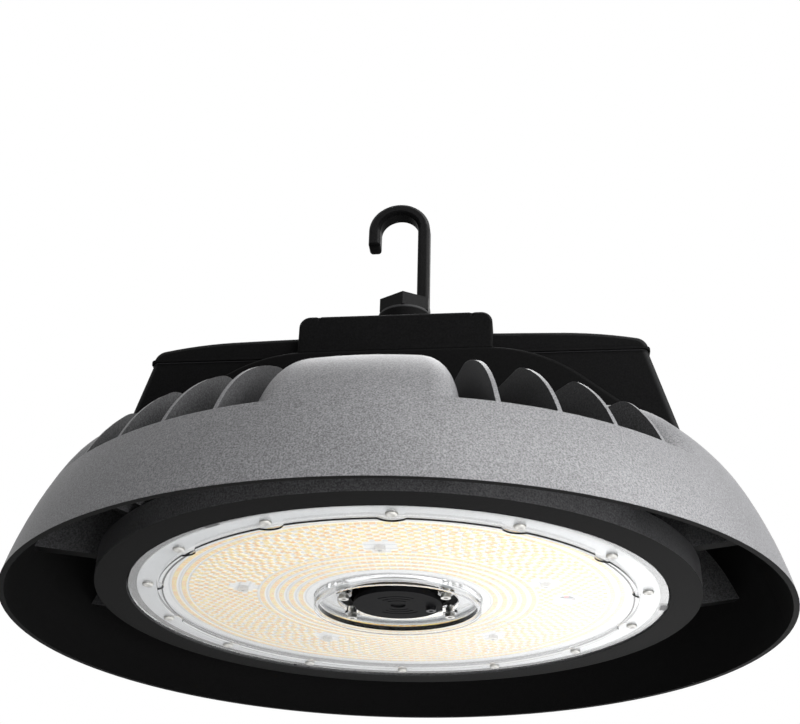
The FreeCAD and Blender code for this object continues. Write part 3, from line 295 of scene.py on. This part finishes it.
def clear_plastic(name):
    """Clear polycarbonate; light reaches the board through it."""
    material, tree, shader = new_material(name)
    shader.inputs["Transmission Weight"].default_value = 1.0
    shader.inputs["IOR"].default_value = 1.52
    fine = noise(tree, coordinates(tree), 60.0)
    tone = grain_tones(tree, fine, (0.955, 0.965, 0.97), (0.98, 0.985, 0.99))
    tree.links.new(tone, shader.inputs["Base Color"])
    tree.links.new(span(tree, fine, 0.015, 0.05), shader.inputs["Roughness"])
    through = add(tree, "ShaderNodeBsdfTransparent", in_Color=(0.95, 0.955, 0.96, 1.0))
    rays = add(tree, "ShaderNodeLightPath")
    both = add(tree, "ShaderNodeMixShader")
    tree.links.new(rays.outputs["Is Shadow Ray"], both.inputs["Fac"])
    tree.links.new(shader.outputs["BSDF"], both.inputs[1])
    tree.links.new(through.outputs["BSDF"], both.inputs[2])
    tree.links.new(both.outputs["Shader"], tree.nodes["Material Output"].inputs["Surface"])
    return material


def board_white(name):
    """White solder mask with faint grey copper tracks between the rings of LEDs."""
    material, tree, shader = new_material(name)
    place = coordinates(tree)
    turn = 2 * math.pi / RING_PITCH
    phase = calculate(tree, "MULTIPLY_ADD", axis_distance(tree, place), turn,
                      -turn * RING_FIRST)
    lift = span(tree, calculate(tree, "COSINE", phase), 0.0, 1.0, start=-1.0)
    tracks = ramp(tree, lift, [(0.02, (0.62, 0.63, 0.66)), (0.12, (0.84, 0.84, 0.85)),
                               (0.3, (0.88, 0.88, 0.885))])
    tree.links.new(tracks, shader.inputs["Base Color"])
    tree.links.new(span(tree, noise(tree, place, 500.0), 0.3, 0.42), shader.inputs["Roughness"])
    return material


def seated_black(name, rim):
    """Black moulding whose flange, outside the rim radius, carries its pale seal."""
    material, tree, shader = new_material(name)
    place = coordinates(tree)
    fine = noise(tree, place, 420.0)
    outside = calculate(tree, "GREATER_THAN", axis_distance(tree, place), rim)
    black = grain_tones(tree, fine, grey(0.004), grey(0.006))
    pale = grain_tones(tree, fine, grey(0.58), grey(0.66))
    tree.links.new(mixed(tree, outside, black, pale), shader.inputs["Base Color"])
    tree.links.new(span(tree, fine, 0.5, 0.6), shader.inputs["Roughness"])
    shader.inputs["Specular IOR Level"].default_value = 0.05
    bump(tree, shader, fine, 0.3, 0.00006)
    return material


def phosphor(name):
    """Warm phosphor in the LED's window, a little uneven from LED to LED."""
    material, tree, shader = new_material(name)
    patch = noise(tree, coordinates(tree), 260.0, 1.0)
    colour = ramp(tree, patch, [(0.40, (0.94, 0.44, 0.06)), (0.5, (0.95, 0.56, 0.08)),
                                (0.60, (0.95, 0.72, 0.14))])
    tree.links.new(colour, shader.inputs["Base Color"])
    shader.inputs["Roughness"].default_value = 0.35
    return material


# painted light and shade: the housing coat is lit-looking grey on faces turned out or up, and
# black on faces turned down and on the arch above the painted-shade height
HOUSING = powder("cast_housing_coat", 0.003, 0.060, 0.195, 0.52, 0.45, top=PAINTED_SHADE_HEIGHT)
# the box and hook coats use the same facing mask, which gives a faint painted lightening on
# faces turned up
BOX = powder("box_coat", 0.003, 0.003, 0.010, 0.56, 0.06)
HOOK = powder("hook_coat", 0.003, 0.004, 0.012, 0.36, 0.15)
SILICONE = plastic("gasket_silicone", (0.62, 0.63, 0.64), 0.45, spread=0.06)
RUBBER = plastic("seal_rubber_matte", (0.012, 0.012, 0.013), 0.7)
BLACK = plastic("black_moulding", (0.005, 0.005, 0.0055), 0.55, shine=0.03)
WELL = seated_black("well_moulding", WELL_RIM)
BOARD = board_white("board_mask")
CLEAR = clear_plastic("clear_polycarbonate")
ZINC = metal("zinc_plate", (0.72, 0.71, 0.68), 0.28)
OXIDE = metal("black_oxide", (0.08, 0.08, 0.085), 0.35)
ALU = metal("driver_case_satin", (0.72, 0.73, 0.74), 0.4)
BRASS = metal("brass_satin", (0.75, 0.58, 0.28), 0.3)
PAD = plastic("pad_soft", (0.45, 0.46, 0.48), 0.75)
TERMINAL = plastic("terminal_moulding", (0.8, 0.8, 0.76), 0.45)
SLEEVE = plastic("lead_silicone", (0.55, 0.05, 0.04), 0.5)
TAB = plastic("tab_moulding", (0.05, 0.05, 0.052), 0.4)
LED_BODY = plastic("led_body_cream", (0.90, 0.74, 0.42), 0.4)
LED_WINDOW = phosphor("led_phosphor")

FINISHES = {
    "heat_sink_housing": HOUSING, "driver_tray": BOX, "driver_lid": BOX, "saddle_cap": BOX,
    "hook": HOOK, "hook_washer": RUBBER, "hook_set_screw": OXIDE, "cap_screws": OXIDE,
    "lens_cover": CLEAR, "lens_gasket": SILICONE, "collar_gasket": SILICONE,
    "lid_gasket": RUBBER, "lens_screws": ZINC, "collar_screws": ZINC, "board_screws": ZINC,
    "driver_screws": ZINC, "lid_screws": OXIDE, "tray_screws": ZINC,
    "plug_cover_screw": OXIDE, "ground_screw": BRASS, "led_board": BOARD,
    "thermal_pad": PAD, "sensor_well": WELL, "sensor_socket": BLACK,
    "sensor_plug_cover": BLACK, "led_driver": ALU, "terminal_block": TERMINAL,
    "gland_body": BLACK, "gland_nut": BLACK, "gland_seal": RUBBER, "wire_grommet": RUBBER,
    "led_leads": SLEEVE,
}
for node_name, finish in FINISHES.items():
    piece = nodes[node_name]
    if not piece.material_slots:
        piece.data.materials.append(finish)
    for slot in piece.material_slots:
        slot.material = finish


# ---- mesh helpers -----------------------------------------------------------------------

def link(name, data):
    """New object in the scene."""
    made = bpy.data.objects.new(name, data)
    bpy.context.scene.collection.objects.link(made)
    return made


def mesh_piece(name, verts, faces, *materials):
    """New mesh object with its materials."""
    mesh = bpy.data.meshes.new(name)
    mesh.from_pydata(verts, [], faces)
    for material in materials:
        mesh.materials.append(material)
    return link(name, mesh)


def on_circle(radius, angle):
    return radius * math.cos(angle), radius * math.sin(angle)


def steps(count):
    """Angles of equal steps round the axis."""
    return [2 * math.pi * k / count for k in range(count)]


def bands(first, sides, levels):
    """Faces between rings of vertices, each ring stored after the one before."""
    faces = []
    for start in range(first, first + levels * sides, sides):
        for k in range(sides):
            a, b = start + k, start + (k + 1) % sides
            faces.append((a, a + sides, b + sides, b))
    return faces


def turned(profile, sides):
    """Turned profile of (radius, height) points, whose last point is on the axis."""
    verts = [(*on_circle(radius, angle), height)
             for radius, height in profile[:-1] for angle in steps(sides)]
    faces = bands(0, sides, len(profile) - 2)
    verts.append((0.0, 0.0, profile[-1][1]))
    last = (len(profile) - 2) * sides
    faces += [(last + k, len(verts) - 1, last + (k + 1) % sides) for k in range(sides)]
    return verts, faces


# ---- LEDs on the board ------------------------------------------------------------------

BOARD_GAPS = [on_circle(BOARD_SCREW_RING,
                        math.radians(BOARD_SCREW_PHASE + 360 / BOARD_SCREW_COUNT * k))
              for k in range(BOARD_SCREW_COUNT)] + [LEAD_HOLE]


def clear_of_gaps(x, y):
    """True where no board screw and no lead passes."""
    return all(math.hypot(x - gx, y - gy) > LED_CLEARANCE for gx, gy in BOARD_GAPS)


def led_ring(radius, pitch):
    """Angles of the LEDs in one ring."""
    return steps(int(round(2 * math.pi * radius / pitch / RING_SYMMETRY)) * RING_SYMMETRY)


def led_places():
    """Centre and turn of every LED: packed rings inside and outside, staggered ones between."""
    for ring in range(RING_COUNT):
        radius = RING_FIRST + ring * RING_PITCH
        if ring < PACKED_INNER or ring >= RING_COUNT - PACKED_OUTER:
            rows = [(radius, angle) for angle in led_ring(radius, PACKED_STEP)]
        else:
            angles = led_ring(radius, STAGGERED_STEP)
            half = (angles[1] - angles[0]) / 2
            rows = [(radius - RING_PITCH / 4, angle) for angle in angles]
            rows += [(radius + RING_PITCH / 4, angle + half) for angle in angles]
        for reach, angle in rows:
            x, y = on_circle(reach, angle)
            if clear_of_gaps(x, y):
                yield x, y, angle


def led_field():
    """All LED packages as one mesh: cream body with a bevelled rim and a sunk window."""
    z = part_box("led_board")[0].z
    levels = len(LED_PROFILE) - 1
    verts, faces, slots = [], [], []
    for x, y, angle in led_places():
        c, s = math.cos(angle), math.sin(angle)
        first = len(verts)
        for share, height in LED_PROFILE:
            for a, b in SQUARE:
                r, t = a * LED_HALF[0] * share, b * LED_HALF[1] * share
                verts.append((x + r * c - t * s, y + r * s + t * c, z - height * LED_TALL))
        sides = bands(first, len(SQUARE), levels)
        faces += sides
        slots += [0] * len(sides)
        last = first + levels * len(SQUARE)
        faces.append((last + 3, last + 2, last + 1, last))
        slots.append(1)
    piece = mesh_piece("led_field", verts, faces, LED_BODY, LED_WINDOW)
    piece.data.polygons.foreach_set("material_index", slots)
    piece.data.update()
    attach(piece, "root")


# ---- lens screws, seals and tabs --------------------------------------------------------

def lens_screws():
    """Low pan heads with a round socket, in place of the plain heads of the solids."""
    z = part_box("lens_screws")[0].z + SOLID_HEAD_TALL
    head_verts, head_faces = turned(HEAD_PROFILE, HEAD_SIDES)
    verts, faces = [], []
    for k in range(SCREW_COUNT):
        x, y = on_circle(SCREW_RING, math.radians(SCREW_PHASE + k * 360 / SCREW_COUNT))
        first = len(verts)
        verts += [(x + vx, y + vy, z + vz) for vx, vy, vz in head_verts]
        faces += [tuple(first + i for i in face) for face in head_faces]
    piece = mesh_piece("lens_screw_heads", verts, faces, ZINC)
    piece.data.polygons.foreach_set("use_smooth", [True] * len(faces))
    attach(piece, "root")
    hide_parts("lens_screws")


def annulus(name, inner, outer, low, high, material):
    """Closed flat ring round the axis."""
    verts, faces = [], []
    loop = [(inner, low), (outer, low), (outer, high), (inner, high)]
    for k, angle in enumerate(steps(SEAL_SIDES)):
        verts += [(*on_circle(radius, angle), z) for radius, z in loop]
        here, there = 4 * k, 4 * ((k + 1) % SEAL_SIDES)
        faces += [(here + i, here + (i + 1) % 4, there + (i + 1) % 4, there + i)
                  for i in range(4)]
    piece = mesh_piece(name, verts, faces, material)
    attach(piece, "root")
    return piece


def gaskets():
    """Pale seals under the clear lens, a hair clear of it so that light reaches them."""
    for node, inner, outer in SEALS:
        low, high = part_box(node)
        piece = annulus(node + "_seal", inner, outer, low.z + SEAL_GAP, high.z, SILICONE)
        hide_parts(node)


def lens_tabs():
    """Three small moulded tabs that centre the lens on the disc."""
    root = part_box("lens_cover")[1].z - TAB_START
    count = len(TAB_OUTLINE)
    verts, faces = [], []
    for turn in TAB_ANGLES:
        c, s = math.cos(math.radians(turn)), math.sin(math.radians(turn))
        first = len(verts)
        for depth, inset in TAB_LEVELS:
            for r, t in TAB_OUTLINE:
                r, t = r - math.copysign(inset, r - TAB_MIDDLE), t - math.copysign(inset, t)
                verts.append((r * c - t * s, r * s + t * c, root - depth))
        faces.append(tuple(range(first, first + count)))
        faces += bands(first, count, len(TAB_LEVELS) - 1)
        faces.append(tuple(reversed(range(len(verts) - count, len(verts)))))
    piece = mesh_piece("lens_tabs", verts, faces, TAB)
    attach(piece, "root")


led_field()
gaskets()
lens_tabs()
lens_screws()


# ---- stage ------------------------------------------------------------------------------

def look(location, target, roll=0.0):
    """Matrix of a lamp or camera that looks from one place to another."""
    forward = (Vector(target) - Vector(location)).normalized()
    right = forward.cross(Vector((0, 0, 1))).normalized()
    up = right.cross(forward)
    turned_right = right * math.cos(roll) + up * math.sin(roll)
    turned_up = up * math.cos(roll) - right * math.sin(roll)
    matrix = Matrix((turned_right, turned_up, -forward)).transposed().to_4x4()
    matrix.translation = location
    return matrix


def lamp(name, location, target, size, energy, mirrored):
    """Round soft lamp; where mirrored is off, no gloss or glass shows it."""
    light = bpy.data.lights.new(name, "AREA")
    light.shape = "DISK"
    light.size = size
    light.energy = energy
    holder = link(name, light)
    holder.matrix_world = look(location, target)
    holder.visible_glossy = mirrored
    holder.visible_transmission = mirrored


def floor():
    """Large pale floor under the hanging light."""
    material, tree, shader = new_material("floor_paint")
    tone = grain_tones(tree, noise(tree, coordinates(tree), 3.0),
                       (0.80, 0.80, 0.80), (0.82, 0.82, 0.82))
    tree.links.new(tone, shader.inputs["Base Color"])
    shader.inputs["Roughness"].default_value = 0.9
    corners = [(a * FLOOR_HALF, b * FLOOR_HALF, FLOOR_Z) for a, b in SQUARE]
    plane = mesh_piece("studio_floor", corners, [(0, 1, 2, 3)], material)


def sky(fill):
    """White world where it is seen, reflected or seen through glass; softer as a light."""
    world = bpy.data.worlds.new("studio")
    bpy.context.scene.world = world
    world.use_nodes = True
    tree = world.node_tree
    base = tree.nodes["Background"]
    base.inputs["Color"].default_value = (1, 1, 1, 1)
    rays = add(tree, "ShaderNodeLightPath").outputs
    seen = calculate(tree, "MAXIMUM", rays["Is Camera Ray"], rays["Is Glossy Ray"])
    clear = calculate(tree, "MAXIMUM", seen, rays["Is Transmission Ray"])
    tree.links.new(span(tree, clear, fill, 1.0), base.inputs["Strength"])


def photo_camera():
    """Camera at the photograph's place."""
    data = bpy.data.cameras.new("camera")
    data.sensor_width = SENSOR_WIDTH
    data.lens = SENSOR_WIDTH * FOCAL_LENGTH / RENDER_WIDTH
    data.clip_end = CLIP_END
    camera = link("camera", data)
    heading, lift = math.radians(HEADING), math.radians(LIFT)
    forward = Vector((math.sin(heading) * math.cos(lift), math.cos(heading) * math.cos(lift),
                      math.sin(lift)))
    eye = Vector(EYE)
    camera.matrix_world = look(eye, eye + forward, math.radians(ROLL))
    bpy.context.scene.camera = camera


floor()
sky(FILL)
for settings in LAMPS:
    lamp(*settings)
photo_camera()

bpy.context.scene.view_settings.view_transform = "Standard"
